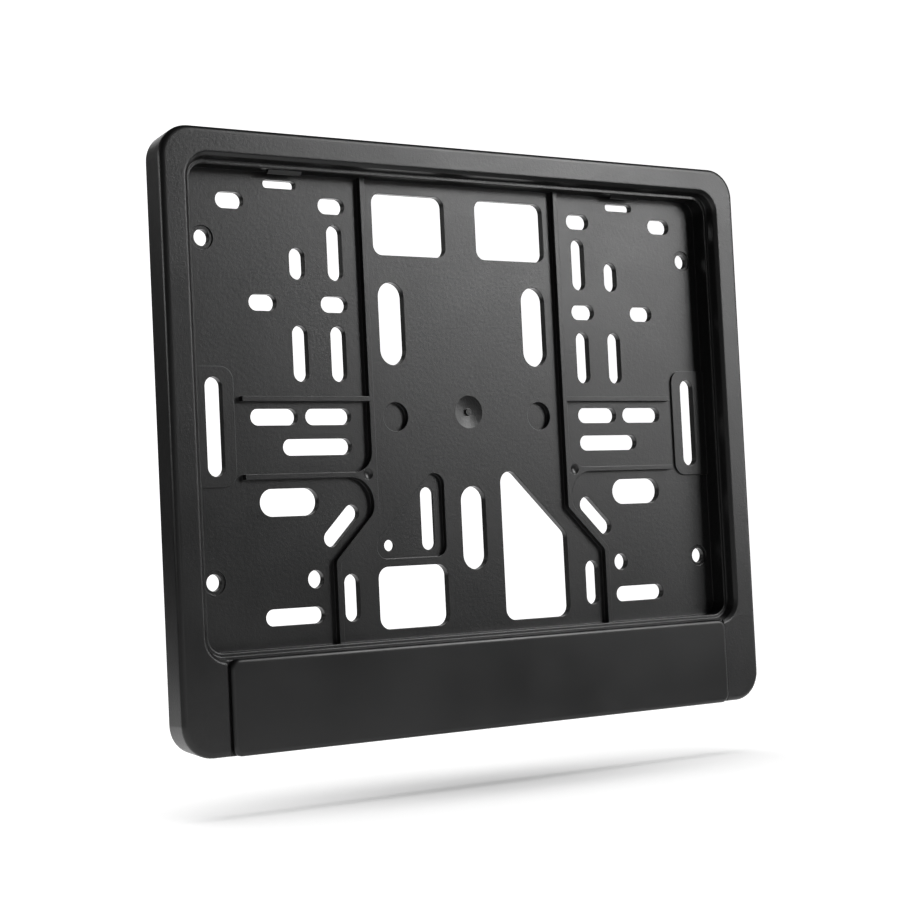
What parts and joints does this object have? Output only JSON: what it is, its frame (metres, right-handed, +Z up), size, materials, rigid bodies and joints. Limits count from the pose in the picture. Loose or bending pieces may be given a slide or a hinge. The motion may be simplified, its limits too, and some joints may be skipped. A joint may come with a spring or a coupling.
{
  "type": "number plate holder",
  "caption": "Moulded frame with a pierced, ribbed tray for a two-line number plate, screwed to a vehicle through its slots, and a clip-on strip along the bottom.",
  "frame": {"origin": "middle of the plate tray, on the rear face that lies against the vehicle", "axes": "+X to the right seen from the front, +Y back into the vehicle, +Z up"},
  "size_m": [0.3136, 0.0181, 0.2616],
  "materials": {
    "grained_plastic": "fine moulded grain, matt",
    "smooth_plastic": "smooth, satin"
  },
  "bodies": {
    "root": {"holder_frame": "grained_plastic", "retaining_strip": "smooth_plastic"}
  },
  "joints": []
}
